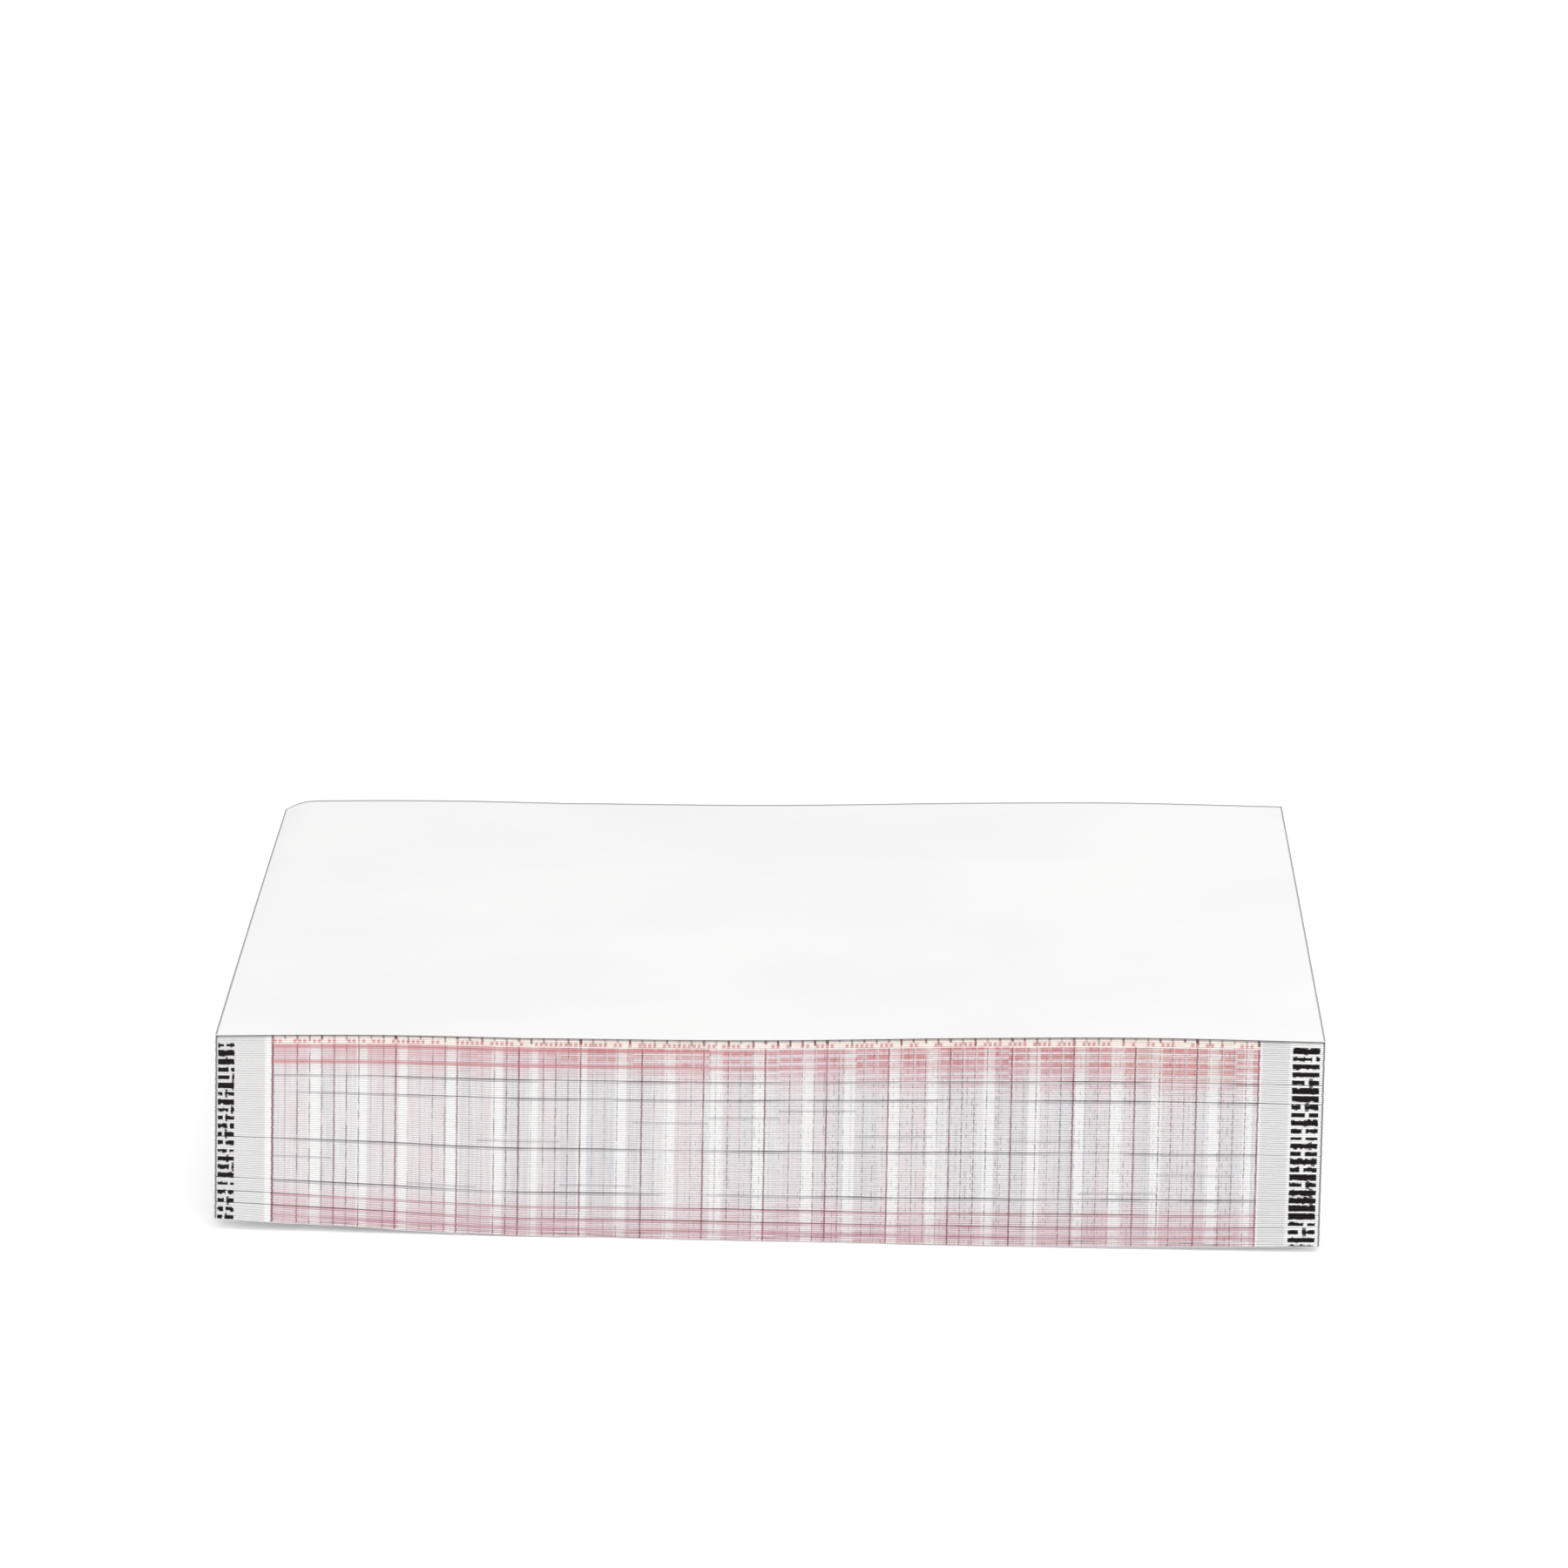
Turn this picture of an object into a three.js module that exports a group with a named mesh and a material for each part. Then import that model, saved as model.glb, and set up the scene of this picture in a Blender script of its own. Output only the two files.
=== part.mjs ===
// A pack of fan-folded (z-fold) thermal recording paper, the consumable of a chart recorder.
// It is one strip of thin paper, creased to and fro into a stack of equal panels, and nothing
// else: no core, cover or band. Both free ends of the strip lie at the front.
// Millimetres. X runs across the paper, Y from the front creases to the rear ones, Z is up.
// The origin is the middle of the underside.
import * as THREE from "three";

// The paper, as it is cut and printed before folding
const paperWidth = 90;
const paperThickness = 0.07;

// The folding
const panelLength = 90; // from a front crease to the rear crease that follows it
const panelCount = 200; // an even number brings both free ends out at the front
const topPanelOverhang = 0.25; // how far the top panel's free edge stands past the creases
const creaseSteps = 3; // facets round the outside of each crease

// How loosely the panels lie on each other: the air between two neighbours
const airGapLeft = 0.0065;
const airGapMiddle = 0.0146;
const airGapRight = 0.0158;

// Some front creases stand back from their neighbours, as hand-packed folds do
const creaseStagger = 0.07;
const staggerPeriods = [5.3, 17.9, 43]; // in panels, so that no regular rhythm shows

// Panels above which the stack has sprung open a little
const sprungPanels = [44, 62, 112, 156, 170, 182];
const sprungGap = 0.05;

// The underside lies flat in the middle, and curls up towards the two cut sides
const flatWidth = 40;
const curlLeft = 0.95;
const curlRight = 0.5;

const packDepth = panelLength + topPanelOverhang;
const frontCreaseLine = -packDepth / 2 + topPanelOverhang;
const rearCreaseLine = packDepth / 2;

// How far the underside is off the table at a place across the paper.
function undersideHeight(x) {
  const curlRun = (paperWidth - flatWidth) / 2;
  const share = Math.max(0, Math.abs(x) - flatWidth / 2) / curlRun;
  return share * (x < 0 ? curlLeft : curlRight);
}

// The air between two panels at a place across the paper: a parabola through the three gaps.
function airGap(x) {
  const share = x / (paperWidth / 2);
  const slope = (airGapRight - airGapLeft) / 2;
  const bow = (airGapRight + airGapLeft) / 2 - airGapMiddle;
  return airGapMiddle + slope * share + bow * share * share;
}

// Crease number n joins panel n - 1 to panel n below it. This is the height of its inside corner.
function creaseHeight(n, x) {
  const panelsBelow = panelCount - 1 - n;
  const pitch = paperThickness + airGap(x);
  const sprungBelow = sprungPanels.filter((panel) => panel > n).length;
  return undersideHeight(x) + paperThickness + panelsBelow * pitch + sprungBelow * sprungGap;
}

const isAtRear = (n) => n % 2 === 1;

// How far a crease stands back from the line of its side, always inwards.
function setBack(n) {
  const waves = staggerPeriods.map((period) => Math.sin((2 * Math.PI * n) / period));
  const mean = waves.reduce((sum, wave) => sum + wave, 0) / waves.length;
  return (creaseStagger * (1 + mean)) / 2;
}

// The inside corner of a crease, one paper thickness within the crease's outer line.
function creaseCorner(n, x) {
  const inwards = paperThickness + setBack(n);
  const y = isAtRear(n) ? rearCreaseLine - inwards : frontCreaseLine + inwards;
  return new THREE.Vector2(y, creaseHeight(n, x));
}

// The outside of a crease: a half round about its inside corner, from the upper panel's
// outer face to the lower panel's.
function creaseOutside(n, x) {
  const corner = creaseCorner(n, x);
  const outwards = isAtRear(n) ? 1 : -1;
  const points = [];
  for (let step = 0; step <= creaseSteps; step++) {
    const angle = Math.PI / 2 - (Math.PI * step) / creaseSteps;
    const reach = new THREE.Vector2(outwards * Math.cos(angle), Math.sin(angle));
    points.push(reach.multiplyScalar(paperThickness).add(corner));
  }
  return points;
}

// The section of the folded strip at a place across the paper, in Y and Z. It runs down the
// printed side, which is outside at the front creases, and back up the blank side, which is
// outside at the rear ones.
function stripSection(x) {
  const underside = undersideHeight(x);
  const topFace = creaseHeight(1, x) + paperThickness;
  const firstFreeEdge = frontCreaseLine - topPanelOverhang;
  const lastFreeEdge = isAtRear(panelCount) ? rearCreaseLine : frontCreaseLine;
  const printedSide = [new THREE.Vector2(firstFreeEdge, topFace - paperThickness)];
  const blankSide = [new THREE.Vector2(firstFreeEdge, topFace)];
  for (let n = 1; n < panelCount; n++) {
    const inside = isAtRear(n) ? printedSide : blankSide;
    const outside = isAtRear(n) ? blankSide : printedSide;
    inside.push(creaseCorner(n, x));
    outside.push(...creaseOutside(n, x));
  }
  const lowestFace = isAtRear(panelCount) ? printedSide : blankSide;
  const upperFace = isAtRear(panelCount) ? blankSide : printedSide;
  upperFace.push(new THREE.Vector2(lastFreeEdge, underside + paperThickness));
  lowestFace.push(new THREE.Vector2(lastFreeEdge, underside));
  return [...printedSide, ...blankSide.reverse()];
}

// Skins the sections from the left cut side to the right one, and closes both ends.
function skinStrip(stations) {
  const sections = stations.map(stripSection);
  const count = sections[0].length;
  const positions = sections.flatMap((section, s) =>
    section.flatMap((point) => [stations[s], point.x, point.y]),
  );
  const faces = [];
  for (let s = 0; s + 1 < sections.length; s++) {
    for (let i = 0; i < count; i++) {
      const next = (i + 1) % count;
      const [a, b] = [s * count + i, s * count + next];
      faces.push(a, b, a + count, b, b + count, a + count);
    }
  }
  const last = (sections.length - 1) * count;
  const cutSide = (section) => THREE.ShapeUtils.triangulateShape(section, []);
  cutSide(sections[0]).forEach(([a, b, c]) => faces.push(a, c, b));
  cutSide(sections.at(-1)).forEach(([a, b, c]) => faces.push(last + a, last + b, last + c));
  const geometry = new THREE.BufferGeometry();
  geometry.setAttribute("position", new THREE.Float32BufferAttribute(positions, 3));
  geometry.setIndex(faces);
  return geometry;
}

function foldedStrip() {
  const flatHalf = flatWidth / 2;
  const cutSide = paperWidth / 2;
  return skinStrip([-cutSide, -flatHalf, 0, flatHalf, cutSide]);
}

const thermalPaper = new THREE.MeshStandardMaterial({
  color: 0xf6f5f3,
  roughness: 0.62,
  metalness: 0,
});

const strip = new THREE.Mesh(foldedStrip(), thermalPaper);
strip.name = "folded_strip";

const pack = new THREE.Group();
pack.add(strip);

export default pack;
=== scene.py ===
import math

import bpy
import numpy as np
from mathutils import Matrix, Vector


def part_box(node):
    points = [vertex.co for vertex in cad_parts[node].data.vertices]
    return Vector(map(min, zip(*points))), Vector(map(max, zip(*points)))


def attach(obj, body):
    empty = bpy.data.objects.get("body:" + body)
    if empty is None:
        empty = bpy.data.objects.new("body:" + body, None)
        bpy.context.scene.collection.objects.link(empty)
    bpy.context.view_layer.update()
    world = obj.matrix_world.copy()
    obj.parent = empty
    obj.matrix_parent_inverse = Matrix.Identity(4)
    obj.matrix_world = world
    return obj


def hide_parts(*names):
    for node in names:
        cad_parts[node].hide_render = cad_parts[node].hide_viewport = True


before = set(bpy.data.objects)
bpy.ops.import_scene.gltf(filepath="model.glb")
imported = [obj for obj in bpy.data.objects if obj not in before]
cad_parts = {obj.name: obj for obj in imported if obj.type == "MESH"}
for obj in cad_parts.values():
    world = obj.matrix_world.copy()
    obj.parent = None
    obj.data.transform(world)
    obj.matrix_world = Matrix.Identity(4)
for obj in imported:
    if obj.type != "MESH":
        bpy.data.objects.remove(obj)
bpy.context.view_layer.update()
stripLow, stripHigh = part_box("folded_strip")

# Sizes in this script are millimetres, apart from the studio, which is in metres
mm = 0.001


class Field:  # a node socket that can be calculated with
    def __init__(self, tree, socket=None):
        self.tree = tree
        self.socket = socket

    def node(self, kind, settings=None, values=None, out=0):
        made = self.tree.nodes.new(kind)
        for name, value in (settings or {}).items():
            setattr(made, name, value)
        for key, value in (values or {}).items():
            if isinstance(value, Field):
                self.tree.links.new(value.socket, made.inputs[key])
            else:
                made.inputs[key].default_value = value
        return Field(self.tree, made.outputs[out] if len(made.outputs) else None)

    def out(self, name):
        return Field(self.tree, self.socket.node.outputs[name])

    def calc(self, operation, *values):
        return self.node("ShaderNodeMath", {"operation": operation}, dict(enumerate(values)))

    def __add__(self, other):
        return self.calc("ADD", self, other)

    def __radd__(self, other):
        return self.calc("ADD", other, self)

    def __sub__(self, other):
        return self.calc("SUBTRACT", self, other)

    def __rsub__(self, other):
        return self.calc("SUBTRACT", other, self)

    def __mul__(self, other):
        return self.calc("MULTIPLY", self, other)

    def __truediv__(self, other):
        return self.calc("DIVIDE", self, other)

    def __mod__(self, other):
        return self.calc("FLOORED_MODULO", self, other)

    def __pow__(self, other):
        return self.calc("POWER", self, other)

    def __abs__(self):
        return self.calc("ABSOLUTE", self)

    def __gt__(self, other):
        return self.calc("GREATER_THAN", self, other)

    def __lt__(self, other):
        return self.calc("LESS_THAN", self, other)

    def floor(self):
        return self.calc("FLOOR", self)

    def sine(self):
        return self.calc("SINE", self)

    def cosine(self):
        return self.calc("COSINE", self)

    def atLeast(self, other):
        return self.calc("MAXIMUM", self, other)

    def atMost(self, other):
        return self.calc("MINIMUM", self, other)

    def rise(self, low, high):  # 0 below low, 1 above high, smooth between
        ends = {0: self, 1: low, 2: high, 3: 0.0, 4: 1.0}
        return self.node("ShaderNodeMapRange", {"interpolation_type": "SMOOTHSTEP"}, ends)

    def near(self, place, inner, outer):  # 1 within inner of a place, 0 past outer
        return 1 - abs(self - place).rise(inner, outer)

    def chance(self, seed):  # a fixed random number for each whole number
        return self.node("ShaderNodeTexWhiteNoise", {"noise_dimensions": "1D"}, {"W": self + seed})

    def vector(self, x, y, z=0.0):
        return self.node("ShaderNodeCombineXYZ", None, {0: x, 1: y, 2: z})

    def noise(self, x, y, detail=2.0):  # soft noise over a pair of coordinates
        values = {"Vector": self.vector(x, y), "Scale": 1.0, "Detail": detail}
        return self.node("ShaderNodeTexNoise", {"noise_dimensions": "2D"}, values)


def tone(red, green, blue):  # a colour as it is seen, 0 to 255, made linear
    seen = [value / 255 for value in (red, green, blue)]
    return [v / 12.92 if v <= 0.04045 else ((v + 0.055) / 1.055) ** 2.4 for v in seen] + [1.0]


# The camera, fitted to the photo's six corners and three long edges
view = {
    "imageSize": 1800,
    "focalPixels": 10766,
    "sensor": 36.0,
    "pitch": 12.10,
    "yaw": -0.49,
    "roll": 1.06,
    "aim": (0.36, 0.0, 28.52),
    "distance": 801.7,
    "nearest": 20.0,
}


def makeCamera():
    pitch, yaw, roll = (math.radians(view[name]) for name in ("pitch", "yaw", "roll"))
    along = math.cos(pitch)
    ahead = Vector((math.sin(yaw) * along, math.cos(yaw) * along, -math.sin(pitch)))
    level = Vector((math.cos(yaw), -math.sin(yaw), 0))
    upright = level.cross(ahead)
    right = level * math.cos(roll) + upright * math.sin(roll)
    up = upright * math.cos(roll) - level * math.sin(roll)
    turn = Matrix((right, up, -ahead)).transposed().to_4x4()
    lens = bpy.data.cameras.new("productCamera")
    lens.sensor_width = view["sensor"]
    lens.lens = view["sensor"] * view["focalPixels"] / view["imageSize"]
    lens.clip_start = view["nearest"] * mm
    camera = bpy.data.objects.new("productCamera", lens)
    place = (Vector(view["aim"]) - ahead * view["distance"]) * mm
    camera.matrix_world = Matrix.Translation(place) @ turn
    bpy.context.scene.collection.objects.link(camera)
    bpy.context.scene.camera = camera


makeCamera()
print("camera placed")

# The strip: how it is cut, folded and stacked
strip = {
    "Columns": 45,
    "Panels": 200,
    "Flat Rows": 24,  # rows along the top panel, and as many along the lowest
    "Crease Rows": 5,  # rows round each crease
    "Paper Width": (stripHigh.x - stripLow.x) / mm,
    "Thickness": 0.07,
    "Crease Radius": 0.0375,  # to the middle of the sheet
    "Front Edge": stripLow.y / mm,
    "Rear Edge": stripHigh.y / mm,
    "Overhang": 0.16,
    "Stack Left": 15.58,
    "Stack Middle": 17.2,
    "Stack Right": 17.42,
    "Wave Height": 0.2,  # the stack swells and sags across
    "Wave Length": 54.0,
    "Wave Place": 43.5,
    "Sprung Gap": 0.05,
    "Flat Width": 40.0,
    "Curl Left": 0.95,
    "Curl Right": 0.5,
    "Crease Set Back": 0.05,
    "Side Set Back": 0.035,
    "Ragged Foot": 0.3,
    "Corner Droop": 0.036,
    "Corner Width": 2.6,
    "Corner Cut": 1.2,
    "Top Lift": 0.06,
    "Top Bow": 0.1,
    "Seed": 4.7,
}
wholeNumbers = ("Columns", "Panels", "Flat Rows", "Crease Rows")
sprungPanels = (44, 62, 112, 156, 170, 182)
edgeCrowding = 0.7  # columns stand closer together at the two cut sides
curlPower = 1.2
footCreases = 6  # the lowest creases, which are ragged at the front
lowestSetBack = 0.08
bodyName = "root"


def foldTree():
    tree = bpy.data.node_groups.new("foldToAndFro", "GeometryNodeTree")
    for name in strip:
        kind = "NodeSocketInt" if name in wholeNumbers else "NodeSocketFloat"
        tree.interface.new_socket(name, in_out="INPUT", socket_type=kind)
    tree.interface.new_socket("Paper", in_out="INPUT", socket_type="NodeSocketMaterial")
    tree.interface.new_socket("Geometry", in_out="OUTPUT", socket_type="NodeSocketGeometry")
    base = Field(tree)
    given = base.node("NodeGroupInput")
    columns, panels, flatRows, creaseRows = (given.out(name) for name in wholeNumbers)
    width, thickness, radius = (given.out(n) for n in ("Paper Width", "Thickness", "Crease Radius"))
    seed = given.out("Seed")

    # Where each point is: a row along the strip and a column across it
    rows = flatRows * 2 + creaseRows * (panels - 1)
    index = base.node("GeometryNodeInputIndex")
    row = index % rows
    column = (index / rows).floor()
    share = column / (columns - 1)
    place = share - (share * math.tau).sine() * (edgeCrowding / math.tau)
    across = place * width
    inFolds = row - flatRows
    crease = ((inFolds / creaseRows).floor() + 1).atLeast(1).atMost(panels - 1)
    turn = (inFolds - (crease - 1) * creaseRows).atLeast(0).atMost(creaseRows - 1) / (creaseRows - 1)
    rear = crease % 2
    side = rear * 2 - 1
    bottomStart = flatRows + creaseRows * (panels - 1)
    topLeft = 1 - (row / flatRows).atMost(1)
    topShare = 1 - topLeft * topLeft
    bottomShare = ((row - bottomStart + 1) / flatRows).atLeast(0) ** 2
    rearness = rear * topShare * (1 - bottomShare)

    # How thick the stack is, and how far each crease lies below the top
    left, middle, right = (given.out("Stack " + name) for name in ("Left", "Middle", "Right"))
    straight = (middle * 4 - left * 3 - right) * place
    bowed = (left - middle * 2 + right) * 2 * place * place
    swing = (across - given.out("Wave Place")) / given.out("Wave Length") * math.tau
    wave = swing.cosine() * given.out("Wave Height")
    reach = radius + thickness / 2
    stack = left + straight + bowed - wave - reach * 2 - given.out("Top Lift")
    air = (stack - given.out("Sprung Gap") * len(sprungPanels)) / (panels - 2) - thickness
    looseness = base.noise(across * 0.035 + seed, crease * 0.31) + 0.5
    fade = base.noise(across * 0.06, crease * 0.2 + seed).rise(0.35, 0.6) * 1.4 + 0.1
    sprung = sum(crease.near(panel, 0.4, 0.5) for panel in sprungPanels)
    step = thickness + air * looseness + given.out("Sprung Gap") * sprung * fade
    counted = (turn < 0.1) * (crease > 1.5) * (inFolds > -0.5)
    kind = {"data_type": "FLOAT", "domain": "POINT"}
    sunk = base.node("GeometryNodeAccumulateField", kind, {"Value": step * counted, "Group ID": column})
    fallen = sunk.out("Leading") / sunk.out("Total")

    # The underside lies flat in the middle and curls up at both cut sides
    fromMiddle = across - width / 2
    curlRun = (width - given.out("Flat Width")) / 2
    offLeft = ((0 - fromMiddle - given.out("Flat Width") / 2) / curlRun).atLeast(0) ** curlPower
    offRight = ((fromMiddle - given.out("Flat Width") / 2) / curlRun).atLeast(0) ** curlPower
    underside = given.out("Curl Left") * offLeft + given.out("Curl Right") * offRight

    # Creases stand back unevenly, the lowest ones most, and one rear corner has drooped
    uneven = crease.chance(seed) * 0.55 + base.noise(across * 0.05, crease * 0.6) * 0.45
    isFoot = crease > panels - (footCreases + 0.5)
    foot = isFoot * base.noise(across * 0.22, crease * 1.7).rise(0.5, 0.75)
    cornered = (1 - across / given.out("Corner Width")).atLeast(0) ** 2
    setBack = given.out("Crease Set Back") * uneven + given.out("Ragged Foot") * foot * (1 - rear)
    setBack = setBack + given.out("Corner Cut") * cornered * rear
    droop = given.out("Corner Droop") * rearness * rearness * cornered
    frontLine = given.out("Front Edge") + given.out("Overhang")
    line = rear * given.out("Rear Edge") + (1 - rear) * frontLine
    centreY = line - side * (reach + setBack)
    centreZ = underside + reach + stack * (1 - fallen) * (1 - droop)

    # Round the crease, and along the two panels whose free edges show
    halfTurn = turn * math.pi
    y = centreY + side * radius * halfTurn.sine()
    z = centreZ + radius * halfTurn.cosine()
    y = given.out("Front Edge") + (y - given.out("Front Edge")) * topShare
    torn = base.noise(across * 0.3, seed).rise(0.45, 0.7) * given.out("Ragged Foot")
    y = y + (frontLine + lowestSetBack + torn - y) * bottomShare
    ripple = base.noise(across * 0.03 + 11, topShare * 1.6) * given.out("Top Bow")
    z = z + given.out("Top Lift") * (1 - topShare) + (topShare * math.pi).sine() * ripple
    x = (place - 0.5) * (width - given.out("Side Set Back") * 2 * crease.chance(seed + 31))

    sheet = base.node("GeometryNodeMeshGrid", None, {"Vertices X": columns, "Vertices Y": rows})
    spot = base.vector(x * mm, y * mm, z * mm)
    sheet = base.node("GeometryNodeSetPosition", None, {"Geometry": sheet, "Position": spot})
    for name, value in (("across", across), ("fold", crease + turn - 0.5), ("row", row)):
        sheet = base.node(
            "GeometryNodeStoreNamedAttribute",
            {"data_type": "FLOAT", "domain": "POINT"},
            {"Geometry": sheet, "Name": name, "Value": value},
        )
    sheet = base.node("GeometryNodeRealizeInstances", None, {"Geometry": sheet})
    finish = {"Geometry": sheet, "Material": given.out("Paper")}
    sheet = base.node("GeometryNodeSetMaterial", None, finish)
    base.node("NodeGroupOutput", None, {"Geometry": sheet})
    return tree


def plainMesh(piece, name):  # what the modifiers make, as a mesh of its own
    graph = bpy.context.evaluated_depsgraph_get()
    graph.update()
    made = bpy.data.meshes.new_from_object(piece.evaluated_get(graph))
    made.name = name
    piece.modifiers.clear()
    piece.data = made
    return made


def foldStrip(materials):
    piece = bpy.data.objects.new("folded_paper", bpy.data.meshes.new("sheet"))
    bpy.context.scene.collection.objects.link(piece)
    tree = foldTree()
    folding = piece.modifiers.new("fold", "NODES")
    folding.node_group = tree
    for item in tree.interface.items_tree:
        if item.in_out == "INPUT":
            folding[item.identifier] = materials[0] if item.name == "Paper" else strip[item.name]
    mesh = plainMesh(piece, "foldedSheet")
    mesh.materials.clear()
    for material in materials:  # blank side, printed side, cut edges
        mesh.materials.append(material)
    wall = piece.modifiers.new("thickness", "SOLIDIFY")
    wall.thickness = strip["Thickness"] * mm
    wall.offset = 0
    wall.material_offset = 1
    wall.material_offset_rim = 2
    mesh = plainMesh(piece, "foldedPaper")
    mesh.shade_smooth()
    mesh.set_sharp_from_angle(angle=math.radians(50))
    return piece


# Where each kind of face lies in the map that the finished surface is baked to, from 0 to 1
bakeBands = {
    "frontNoses": (0.45, 0.998),
    "topPanel": (0.27, 0.44),
    "rearNoses": (0.16, 0.26),
    "underside": (0.10, 0.15),
    "cutSides": (0.07, 0.085),
    "freeEdges": (0.05, 0.06),
    "insidePrinted": (0.026, 0.044),
    "insideBlank": (0.004, 0.020),
}
bakeMargin = 0.003


def layOutBakeMap(piece):
    mesh = piece.data
    flatRows, creaseRows = strip["Flat Rows"], strip["Crease Rows"]
    creases = strip["Panels"] - 1

    def read(items, name, kind):
        values = np.zeros(len(items), kind)
        items.foreach_get(name, values)
        return values

    point = read(mesh.loops, "vertex_index", np.int32)
    starts = read(mesh.polygons, "loop_start", np.int32)
    corners = read(mesh.polygons, "loop_total", np.int32)
    material = read(mesh.polygons, "material_index", np.int32)
    rowAt = read(mesh.attributes["row"].data, "value", np.float32)[point]
    acrossAt = read(mesh.attributes["across"].data, "value", np.float32)[point]
    places = np.zeros(len(mesh.vertices) * 3, np.float32)
    mesh.vertices.foreach_get("co", places)
    depthAt = places.reshape(-1, 3)[point, 1]
    otherShell = (point >= len(mesh.vertices) // 2).astype(float)

    firstRow = np.round(np.minimum.reduceat(rowAt, starts)).astype(int)
    lastRow = np.round(np.maximum.reduceat(rowAt, starts)).astype(int)
    inFolds = firstRow - flatRows
    crease = inFolds // creaseRows + 1
    betweenEnds = (inFolds >= 0) & (inFolds < creaseRows * creases)
    onCrease = betweenEnds & (inFolds % creaseRows < creaseRows - 1)
    rim = material == 2
    rearCrease = crease % 2 == 1
    kinds = {
        "frontNoses": onCrease & ~rim & (material == 1) & ~rearCrease,
        "rearNoses": onCrease & ~rim & (material == 0) & rearCrease,
        "topPanel": (firstRow < flatRows) & (material == 0),
        "underside": (firstRow >= flatRows + creaseRows * creases - 1) & (material == 0),
        "cutSides": rim & (firstRow != lastRow),
        "freeEdges": rim & (firstRow == lastRow),
    }
    taken = np.any(list(kinds.values()), axis=0)
    kinds["insidePrinted"] = ~taken & (material == 1)
    kinds["insideBlank"] = ~taken & (material == 0)

    cornerFace = np.repeat(np.arange(len(starts)), corners)
    alongFace = rowAt - firstRow[cornerFace]  # 0 at a face's first row, 1 at its next
    roundCrease = (rowAt - flatRows) % creaseRows / (creaseRows - 1)
    noseShare = (crease[cornerFace] - 1 + roundCrease) / (creases + 1)
    run = {
        "frontNoses": 1 - noseShare,
        "rearNoses": 1 - noseShare,
        "topPanel": rowAt / flatRows,
        "underside": (rowAt - flatRows - creaseRows * creases + 1) / flatRows,
        "cutSides": otherShell,
        "freeEdges": otherShell,
        "insidePrinted": alongFace,
        "insideBlank": alongFace,
    }
    u = acrossAt / strip["Paper Width"]
    v = np.zeros(len(point))
    depthShare = (depthAt / mm - strip["Front Edge"]) / (strip["Rear Edge"] - strip["Front Edge"])
    for name, (low, high) in bakeBands.items():
        here = kinds[name][cornerFace]
        v[here] = low + (high - low) * np.clip(run[name][here], 0, 1)
    onSides = kinds["cutSides"][cornerFace]
    u[onSides] = depthShare[onSides]
    u = bakeMargin + (1 - 2 * bakeMargin) * np.clip(u, 0, 1)
    layer = mesh.uv_layers.new(name="OFBake")
    layer.data.foreach_set("uv", np.stack([u, v], axis=1).astype(np.float32).ravel())


# Thermal paper, coated on its printed side
paper = {
    "white": tone(245, 245, 244),
    # shade is the darker tone of the fibres and of the broad patches of painted reflection
    "shade": tone(240, 240, 241),
    # edge is the dark tone of painted shade lines: along the cut sides, on the rear crease and under the
    # top sheet
    "edge": tone(114, 113, 115),
    "edgeWidth": 0.19,
    "cutLight": tone(240, 240, 239),
    "cutDark": tone(219, 219, 221),
    "roughness": 0.58,
    "cutRoughness": 0.8,
    "sheen": 0.16,
    "fibreScale": 2600.0,  # for each metre
    "paintedReflectionScale": 45.0,
    "fibreHeight": 0.02,
}


def newMaterial(name, roughness):
    material = bpy.data.materials.new(name)
    material.use_nodes = True
    shader = material.node_tree.nodes["Principled BSDF"]
    shader.inputs["Roughness"].default_value = roughness
    shader.inputs["Specular IOR Level"].default_value = paper["sheen"]
    base = Field(material.node_tree)
    base.shader = shader
    return material, base


def mixed(base, factor, first, second):  # the first colour at factor 0, the second at 1
    return base.node("ShaderNodeMix", {"data_type": "RGBA"}, {0: factor, 6: first, 7: second}, 2)


def attribute(base, name):
    return base.node("ShaderNodeAttribute", {"attribute_name": name}, out="Fac")


# Painted shade: a thin dark line along both cut sides, for the shading of the sheet's cut rims
def sideEdgeShade(across):  # 1 along the two cut sides
    inner, outer = paper["edgeWidth"] * 0.6, paper["edgeWidth"]
    rightSide = across.near(strip["Paper Width"], inner, outer)
    return across.near(0, inner, outer).atLeast(rightSide)


def grain(base, strength):  # the paper's fibres, also as a fine bump
    spot = base.node("ShaderNodeTexCoord", out="Object")
    values = {"Vector": spot, "Scale": paper["fibreScale"], "Detail": 3.0, "Roughness": 0.6}
    fibres = base.node("ShaderNodeTexNoise", None, values)
    values = {"Strength": strength, "Distance": paper["fibreHeight"] * mm, "Height": fibres}
    bump = base.node("ShaderNodeBump", None, values)
    base.tree.links.new(bump.socket, base.shader.inputs["Normal"])
    return fibres


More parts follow.
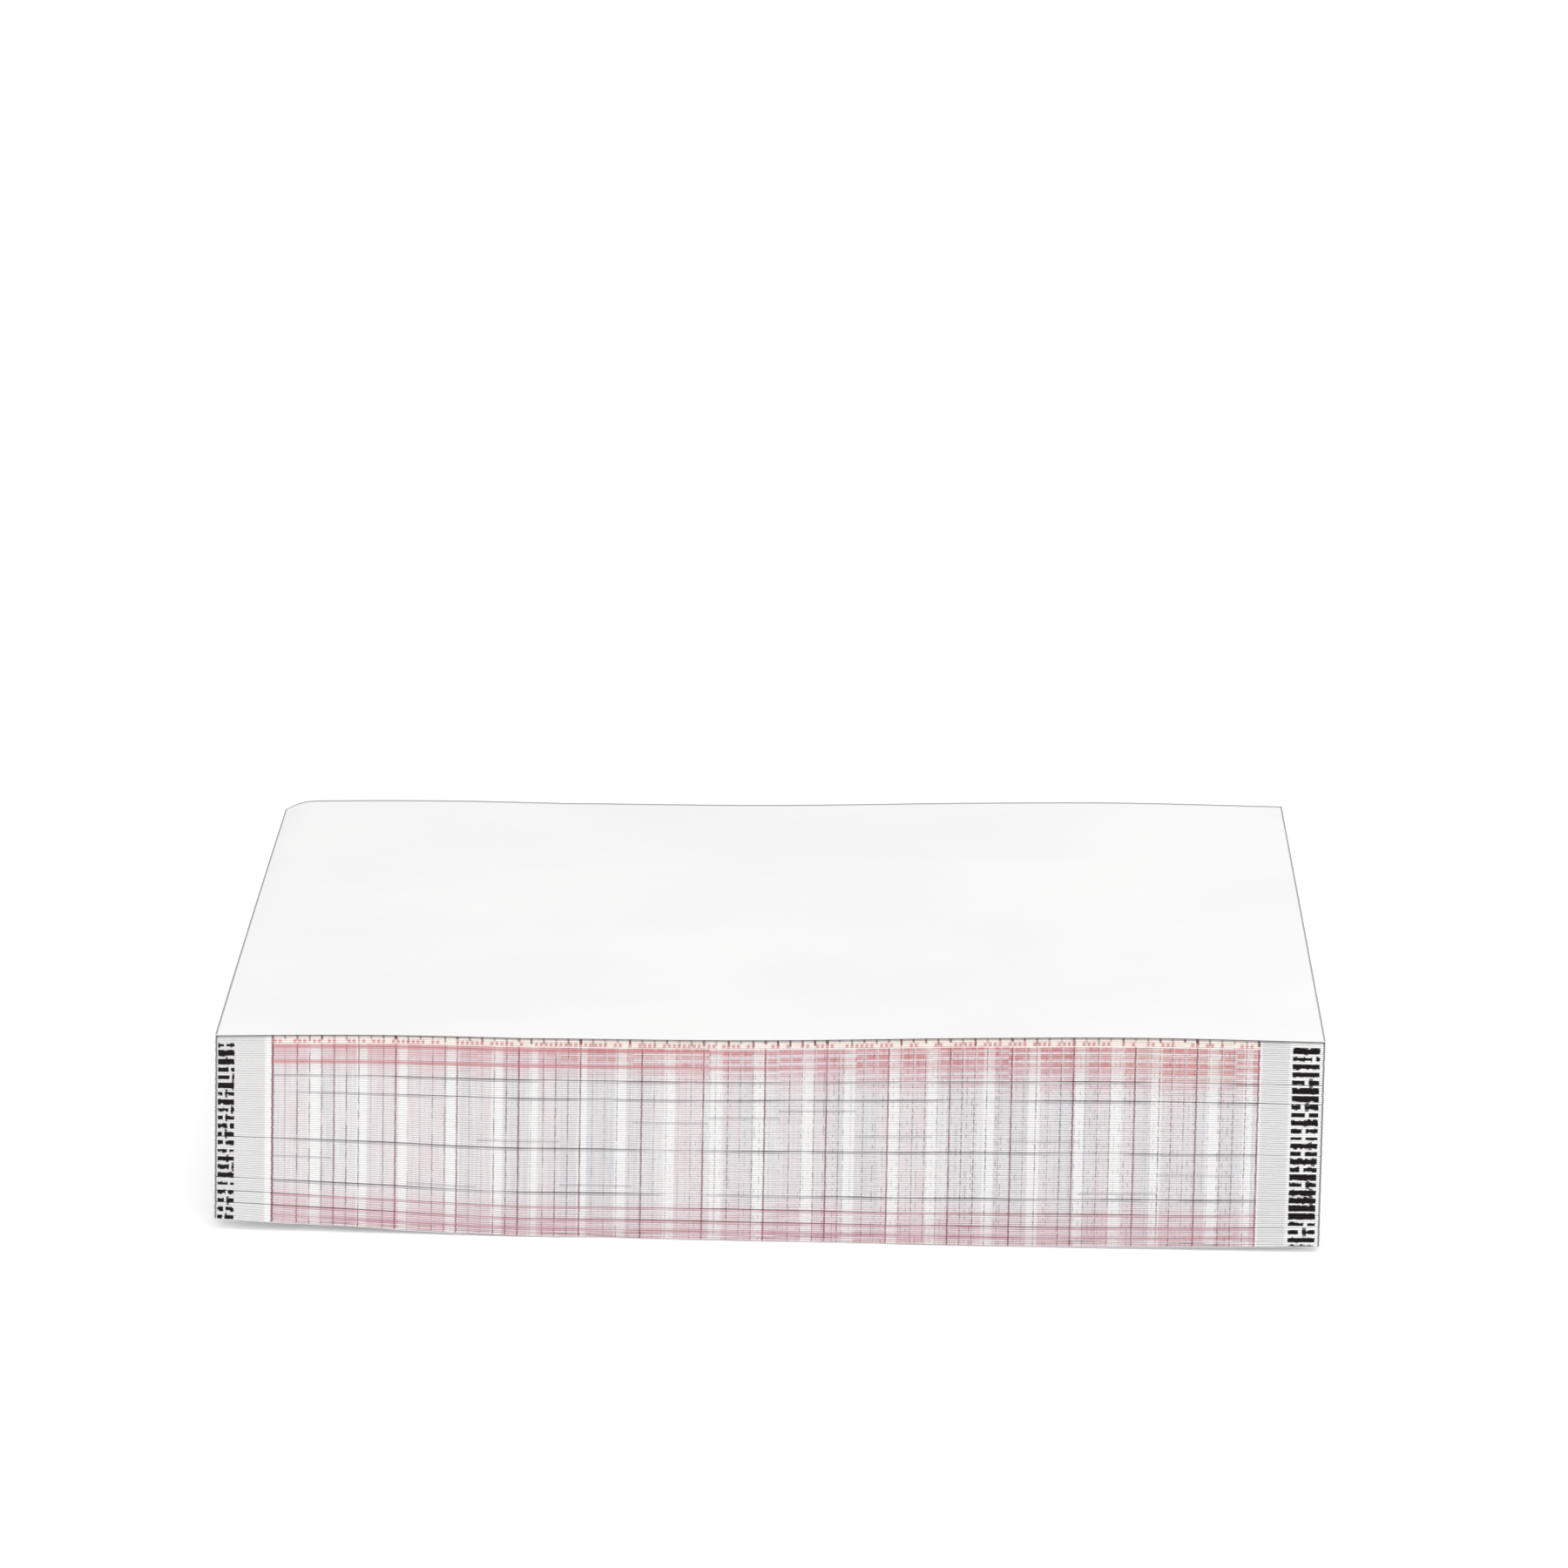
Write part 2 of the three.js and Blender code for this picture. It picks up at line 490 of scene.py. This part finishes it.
def blankPaper():
    material, base = newMaterial("blankPaper", paper["roughness"])
    across = attribute(base, "across")
    fibres = grain(base, 0.12)
    # Fine fibres, and broad soft patches of painted reflection, lighter and darker as uneven gloss from
    # the lamp would make them
    spot = base.node("ShaderNodeTexCoord", out="Object")
    values = {"Vector": spot, "Scale": paper["paintedReflectionScale"], "Detail": 2.0}
    paintedReflectionPatches = base.node("ShaderNodeTexNoise", None, values)
    fibresAndPaintedReflection = fibres * 0.3 + paintedReflectionPatches.rise(0.3, 0.7) * 0.7
    colour = mixed(base, fibresAndPaintedReflection, paper["white"], paper["shade"])
    # Painted shade: a dark band on the rear crease, where the top panel turns down, and thin dark lines
    # along both cut sides
    row = attribute(base, "row")
    bendRow = strip["Flat Rows"]  # the top panel turns down behind it
    paintedCreaseShade = row.rise(bendRow - 2.1, bendRow - 1.2) * (1 - row.rise(bendRow + 4, bendRow + 5))
    colour = mixed(base, (sideEdgeShade(across) * 0.75).atLeast(paintedCreaseShade * 0.85), colour, paper["edge"])
    base.tree.links.new(colour.socket, base.shader.inputs["Base Color"])
    rough = 0.52 + fibres * 0.12
    base.tree.links.new(rough.socket, base.shader.inputs["Roughness"])
    return material


def cutEdge():
    material, base = newMaterial("cutEdge", paper["cutRoughness"])
    fibres = grain(base, 0.08)
    sheet = attribute(base, "fold").floor()
    handled = base.noise(sheet * 0.13, 4.0).rise(0.3, 0.7)  # bands of sheets that have been thumbed
    worn = sheet.chance(8.8) * 0.45 + handled * 0.3 + fibres * 0.25
    colour = mixed(base, worn, paper["cutLight"], paper["cutDark"])
    base.tree.links.new(colour.socket, base.shader.inputs["Base Color"])
    return material


# The ruling, in millimetres from the left cut side, and down the pack in creases from the top
ruling = {
    "firstLine": 4.66,
    "lastLine": 84.66,
    "stripeStart": 8.19,
    "stripePitch": 3.616,
    "blockWidth": 6.1,  # neighbouring columns whose cells line up
    "rowsLeft": 0.112,  # rows of cells for each crease
    "rowsRight": 0.150,
    "topZoneLeft": 36.0,
    "topZoneRight": 62.0,
    "pinkLines": (13, 29),
    "footLines": (170, 182, 191),
    "grey": tone(124, 118, 122),
    "red": tone(166, 66, 82),
    "mauve": tone(154, 112, 123),
    "pink": tone(208, 126, 134),
    "peach": tone(220, 148, 138),
    # lighter than the paper's white: cream print with painted light against the shadow under the top
    # sheet
    "creamWithPaintedLight": tone(255, 249, 242),
    "darkRed": tone(112, 40, 50),
    "rose": tone(216, 180, 187),
    "roseLine": tone(184, 108, 124),
    # print grey, and also an even painted shade between the noses over the whole ruled area
    "greyTint": tone(216, 215, 218),
    "pinkTint": tone(232, 213, 217),
    # bare margin paper, painted grey as painted shade between the noses
    "paintedMarginShade": tone(227, 226, 226),
    "black": tone(26, 20, 24),
}
leftMarks = {"start": 0.22, "end": 1.55, "pitch": 8.8, "seed": 12.3, "height": 0.32}
rightMarks = {"start": 87.4, "end": 89.6, "pitch": 7.6, "seed": 47.9, "height": 0.39}


def indexBars(base, across, fold, marks):
    share = (across - marks["start"]) / (marks["end"] - marks["start"])
    rough = base.noise(across * 2.5, fold * 0.3 + marks["seed"]) * 0.3
    place = fold / marks["pitch"] + rough
    number = place.floor()
    luck = number.chance(marks["seed"])
    height = luck * 0.36 + marks["height"]
    bar = 1 - abs(place - number - 0.5).rise(height / 2 - 0.04, height / 2 + 0.06)
    breakAt = number.chance(marks["seed"] + 5.5) * 0.5 + 0.3
    broken = abs(share - breakAt).rise(0.04, 0.10).atLeast(luck > 0.55)
    hasPost = number.chance(marks["seed"] + 9.1) > 0.62
    post = (1 - abs(share - breakAt - 0.16).rise(0.05, 0.09)) * hasPost
    inside = share.rise(-0.02, 0.02) * (1 - share.rise(0.98, 1.02))
    return inside * (bar * broken).atLeast(post * 0.85)


def chartPrint():
    material, base = newMaterial("chartPrint", paper["roughness"])
    trueAcross = attribute(base, "across")
    fold = attribute(base, "fold")
    slip = (fold / 2).floor().chance(3.3) - 0.5  # neighbours don't line up exactly
    across = trueAcross + slip * 0.03
    fromFirst = across - ruling["firstLine"]
    ruled = across.rise(ruling["firstLine"] - 0.14, ruling["firstLine"] - 0.06)
    ruled = ruled * (1 - across.rise(ruling["lastLine"] + 0.06, ruling["lastLine"] + 0.14))
    rightness = across / strip["Paper Width"]
    celled = rightness.rise(0.12, 0.5)  # cells stand apart at the right, and run together at the left

    # Fields of colour: narrow tinted columns, with soft streaks within, over an even grey that is
    # painted shade between the noses
    sway = base.noise(across * 0.35, fold * 0.004 + 5)
    column = (fromFirst * 0.66 + sway * 1.6).floor()
    luck = column.chance(8.1)
    streak = base.noise(across * 5.2, fold * 0.012 + 2, 3.0)
    # The steady 0.32 is painted shade between the noses; the columns and streaks on top are print
    greyed = (luck < 0.5) * 0.25 + streak.rise(0.38, 0.66) * 0.38 + 0.32
    pinked = (luck > 0.62) * 0.36 + base.noise(across * 1.3, fold * 0.02).rise(0.5, 0.7) * 0.3 + 0.1
    colour = mixed(base, ruled * greyed * 0.8, paper["white"], ruling["greyTint"])
    colour = mixed(base, ruled * pinked * 0.65, colour, ruling["pinkTint"])

    # Rows of pink cells at the top, deeper towards the right, and a rosy foot
    block = (across / ruling["blockWidth"] + base.noise(across * 0.21, 7.0) * 0.9).floor()
    blockLuck = block.chance(5.2)
    rowsFolded = rightness * (ruling["rowsRight"] - ruling["rowsLeft"]) + ruling["rowsLeft"]
    rowPlace = fold * rowsFolded + blockLuck * 0.8
    rowNumber = rowPlace.floor()
    rowEdge = abs(rowPlace - rowNumber - 0.5).rise(0.27, 0.40)
    cellPlace = fromFirst - fromFirst.floor()
    cellEdge = abs(cellPlace - 0.56).rise(0.30, 0.40)
    cell = (fromFirst.floor() * 1.37 + rowNumber * 7.1).chance(1.9)
    rowLuck = (rowNumber + block * 3.3).chance(21.4)
    gaps = (rowEdge.atLeast(cellEdge * 0.7) * (celled * 0.75 + 0.25)).atMost(1)
    zoneSpan = ruling["topZoneRight"] - ruling["topZoneLeft"]
    zoneEnd = ruling["topZoneLeft"] + rightness * zoneSpan
    topZone = 1 - (fold - zoneEnd).rise(-36.0, 12.0)
    warm = base.noise(across * 0.07, fold * 0.01 + 9).rise(0.42, 0.66)
    cellPink = mixed(base, warm * 0.6, ruling["pink"], ruling["peach"])
    strength = (celled * 0.15 + 0.23 + rowLuck * 0.26 + cell * 0.22) * (1 - gaps * 0.85)
    colour = mixed(base, ruled * topZone * strength, colour, cellPink)
    dashRows = (blockLuck > 0.55) * celled * (1 - gaps) * rowLuck * (1 - topZone)
    colour = mixed(base, ruled * dashRows * 0.35, colour, ruling["greyTint"])
    foot = fold.rise(152.0, 196.0)
    footRows = (0.35 + rowLuck * 0.3 + cell * 0.12) * (1 - gaps * 0.3)
    colour = mixed(base, ruled * foot * footRows, colour, ruling["rose"])

    # White stripes where the ink stops short of the crease
    stripe = (across - ruling["stripeStart"]) / ruling["stripePitch"]
    stripeNumber = (stripe + 0.5).floor()
    stripeShift = (stripeNumber.chance(6.6) - 0.5) * 0.34
    offset = abs(stripe - stripeNumber + stripeShift) * ruling["stripePitch"]
    half = 0.34 + stripeNumber.chance(2.7) * 0.18
    stripeMask = 1 - (offset - half).rise(-0.06, 0.06)
    bare = 0.92 - topZone * 0.45 - foot * 0.45
    colour = mixed(base, ruled * stripeMask * bare, colour, paper["white"])

    # Ruled lines: 1 mm hairlines that come and go, bolder ones each 5 mm
    lineNumber = (fromFirst + 0.5).floor()
    lineOffset = abs(fromFirst - lineNumber)
    bold = (lineNumber % 5) < 0.5
    lineLuck = lineNumber.chance(14.2)
    comeAndGo = base.noise(lineNumber * 3.7, fold * 0.05).rise(0.36, 0.56) * 0.6 + 0.4
    beaded = 1 - rowEdge * celled * 0.55
    hair = (1 - lineOffset.rise(0.03, 0.085)) * (lineLuck * 0.75 + 0.2) * comeAndGo * beaded
    ink = mixed(base, (topZone + foot * 0.7).atMost(1), ruling["grey"], ruling["red"])
    colour = mixed(base, ruled * hair * 0.8, colour, ink)
    halfLine = (fromFirst * 2.5 + 0.5).floor()
    halfOffset = abs(fromFirst * 2.5 - halfLine) / 2.5
    dashed = base.noise(halfLine * 2.3, fold * 0.16).rise(0.48, 0.62) * halfLine.chance(4.4)
    dots = (1 - halfOffset.rise(0.02, 0.07)) * dashed * rightness.rise(0.25, 0.6)
    colour = mixed(base, ruled * dots * 0.5, colour, ink)
    boldMask = (1 - lineOffset.rise(0.045, 0.10)) * bold * (0.6 + comeAndGo * 0.3)
    reddened = (topZone + foot * 0.5).atMost(1) * 0.7 + 0.1
    boldInk = mixed(base, reddened, ruling["mauve"], ruling["red"])
    colour = mixed(base, ruled * boldMask * 0.75, colour, boldInk)

    # Dark ends of ruled lines just under the top sheet, on a cream row made lighter than the paper's
    # white, as painted light against the shadow of the top sheet
    firstRow = 1 - fold.rise(9.0, 11.0)
    colour = mixed(base, ruled * firstRow * 0.8, colour, ruling["creamWithPaintedLight"])
    tickLuck = lineNumber.chance(33.0) * 0.6 + 0.3
    tick = (1 - lineOffset.rise(0.05 + bold * 0.04, 0.12 + bold * 0.04)) * tickLuck
    tickEnd = lineNumber.chance(51.0) * 5.0 + 3.0
    colour = mixed(base, ruled * tick * (1 - (fold - tickEnd).rise(0.0, 2.0)), colour, ruling["darkRed"])
    dotPlace = fromFirst * 2.5
    dotNumber = dotPlace.floor()
    dot = (dotPlace - dotNumber).near(0.5, 0.22, 0.40) * (dotNumber.chance(12.2) > 0.3)
    colour = mixed(base, ruled * dot * fold.near(7.5, 1.3, 2.4) * 0.65, colour, ruling["pink"])

    # Lines that run across: grey ones are painted shade in the gaps where the pack has sprung open, pink
    # ones above and below
    paintedGapShade = 0
    for number, place in enumerate(sprungPanels[:4]):
        fade = base.noise(across * 0.12 + number * 9.0, 1.0).rise(0.3, 0.55)
        paintedGapShade = paintedGapShade + fold.near(place, 0.8, 1.8) * fade
    short = block.chance(17.7) * 90.0 + 66.0
    paintedGapShade = paintedGapShade + fold.near(short, 0.7, 1.6) * 0.6 * (block.chance(3.9) > 0.4)
    colour = mixed(base, ruled * paintedGapShade.atMost(1) * 0.42, colour, ruling["grey"])
    leftness = 1 - rightness.rise(0.35, 0.6)
    upper = sum(fold.near(place, 1.0, 2.4) for place in ruling["pinkLines"]) * (0.25 + leftness * 0.55)
    colour = mixed(base, ruled * upper.atMost(1) * 0.68, colour, ruling["pink"])
    worn = base.noise(across * 0.2, fold * 0.1).rise(0.3, 0.55) * 0.6 + 0.4
    lower = sum(fold.near(place, 0.7, 2.0) for place in ruling["footLines"]) * worn
    colour = mixed(base, ruled * lower.atMost(1) * 0.44, colour, ruling["roseLine"])

    # The first ruled line runs the whole height, beside a bare white one
    firstLine = across.near(ruling["firstLine"], 0.07, 0.13)
    colour = mixed(base, firstLine * 0.7, colour, ruling["mauve"])

    # Margins, bare paper painted grey as painted shade between the noses, with plain index bars outside
    leftMargin = 1 - trueAcross.rise(3.9, 4.2)
    rightMargin = trueAcross.rise(84.8, 85.0) * (1 - trueAcross.rise(87.0, 87.3))
    colour = mixed(base, leftMargin.atLeast(rightMargin) * 0.9, colour, ruling["paintedMarginShade"])
    bars = indexBars(base, trueAcross, fold, leftMarks).atLeast(
        indexBars(base, trueAcross, fold, rightMarks)
    )
    colour = mixed(base, bars * (1 - fold.near(0, 5.0, 7.0)), colour, ruling["black"])
    # Painted shadow: a dark line on the first nose, just under the top sheet's overhanging front
    colour = mixed(base, (1 - fold.rise(1.9, 2.7)) * 0.6, colour, paper["edge"])
    # Painted shade: a thin dark line along both cut sides
    colour = mixed(base, sideEdgeShade(trueAcross) * 0.8, colour, paper["edge"])
    base.tree.links.new(colour.socket, base.shader.inputs["Base Color"])
    grain(base, 0.1)
    return material


materials = [blankPaper(), chartPrint(), cutEdge()]
print("materials made")
folded = foldStrip(materials)
layOutBakeMap(folded)
print("strip folded:", len(folded.data.polygons), "faces")
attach(folded, bodyName)
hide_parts("folded_strip")

# The studio, in metres
studio = {
    "floorHalf": 8.0,
    "floorDrop": 0.00003,
    "floorColour": tone(243, 243, 243),
    "floorGlow": 0.27,  # lights nothing, and shows to the camera, in gloss and through glass
    "skyLight": 0.74,
    "backdrop": 1.0,
}
white = (1, 1, 1, 1)
lamps = {
    "softBox": {"place": (0.22, -0.80, 0.80), "size": 1.3, "power": 7.6},
    "rearFill": {"place": (0.35, 1.25, 0.10), "size": 0.6, "power": 1.9},
}


def seenDirectly(base):  # 1 for what the camera sees, also through gloss and glass
    path = base.node("ShaderNodeLightPath")
    seen = path.out("Is Camera Ray") + path.out("Is Glossy Ray") + path.out("Is Transmission Ray")
    return seen.atMost(1)


def makeFloor():
    half, drop = studio["floorHalf"], -studio["floorDrop"]
    corners = [(-half, -half, drop), (half, -half, drop), (half, half, drop), (-half, half, drop)]
    mesh = bpy.data.meshes.new("floor")
    mesh.from_pydata(corners, [], [(0, 1, 2, 3)])
    floor = bpy.data.objects.new("floor", mesh)
    bpy.context.scene.collection.objects.link(floor)
    material = bpy.data.materials.new("paleFloor")
    material.use_nodes = True
    material.node_tree.nodes.clear()
    base = Field(material.node_tree)
    matt = base.node("ShaderNodeBsdfDiffuse", None, {"Color": studio["floorColour"]})
    glow = seenDirectly(base) * studio["floorGlow"]
    light = base.node("ShaderNodeEmission", None, {"Color": white, "Strength": glow})
    both = base.node("ShaderNodeAddShader", None, {0: matt, 1: light})
    base.node("ShaderNodeOutputMaterial", None, {"Surface": both})
    mesh.materials.append(material)


def makeLights():
    for name, values in lamps.items():
        lamp = bpy.data.lights.new(name, "AREA")
        lamp.shape = "SQUARE"
        lamp.size = values["size"]
        lamp.energy = values["power"]
        holder = bpy.data.objects.new(name, lamp)
        holder.location = values["place"]
        holder.rotation_mode = "QUATERNION"
        holder.rotation_quaternion = (-Vector(values["place"])).to_track_quat("-Z", "Y")
        bpy.context.scene.collection.objects.link(holder)
    world = bpy.data.worlds.new("paleStudio")
    world.use_nodes = True
    world.node_tree.nodes.clear()
    base = Field(world.node_tree)
    values = {"Color": white, "Strength": studio["skyLight"]}
    fill = base.node("ShaderNodeBackground", None, values)
    values = {"Color": white, "Strength": studio["backdrop"]}
    backdrop = base.node("ShaderNodeBackground", None, values)
    both = base.node("ShaderNodeMixShader", None, {0: seenDirectly(base), 1: fill, 2: backdrop})
    base.node("ShaderNodeOutputWorld", None, {"Surface": both})
    bpy.context.scene.world = world


makeFloor()
makeLights()
bpy.context.scene.view_settings.view_transform = "Standard"
print("studio lit")
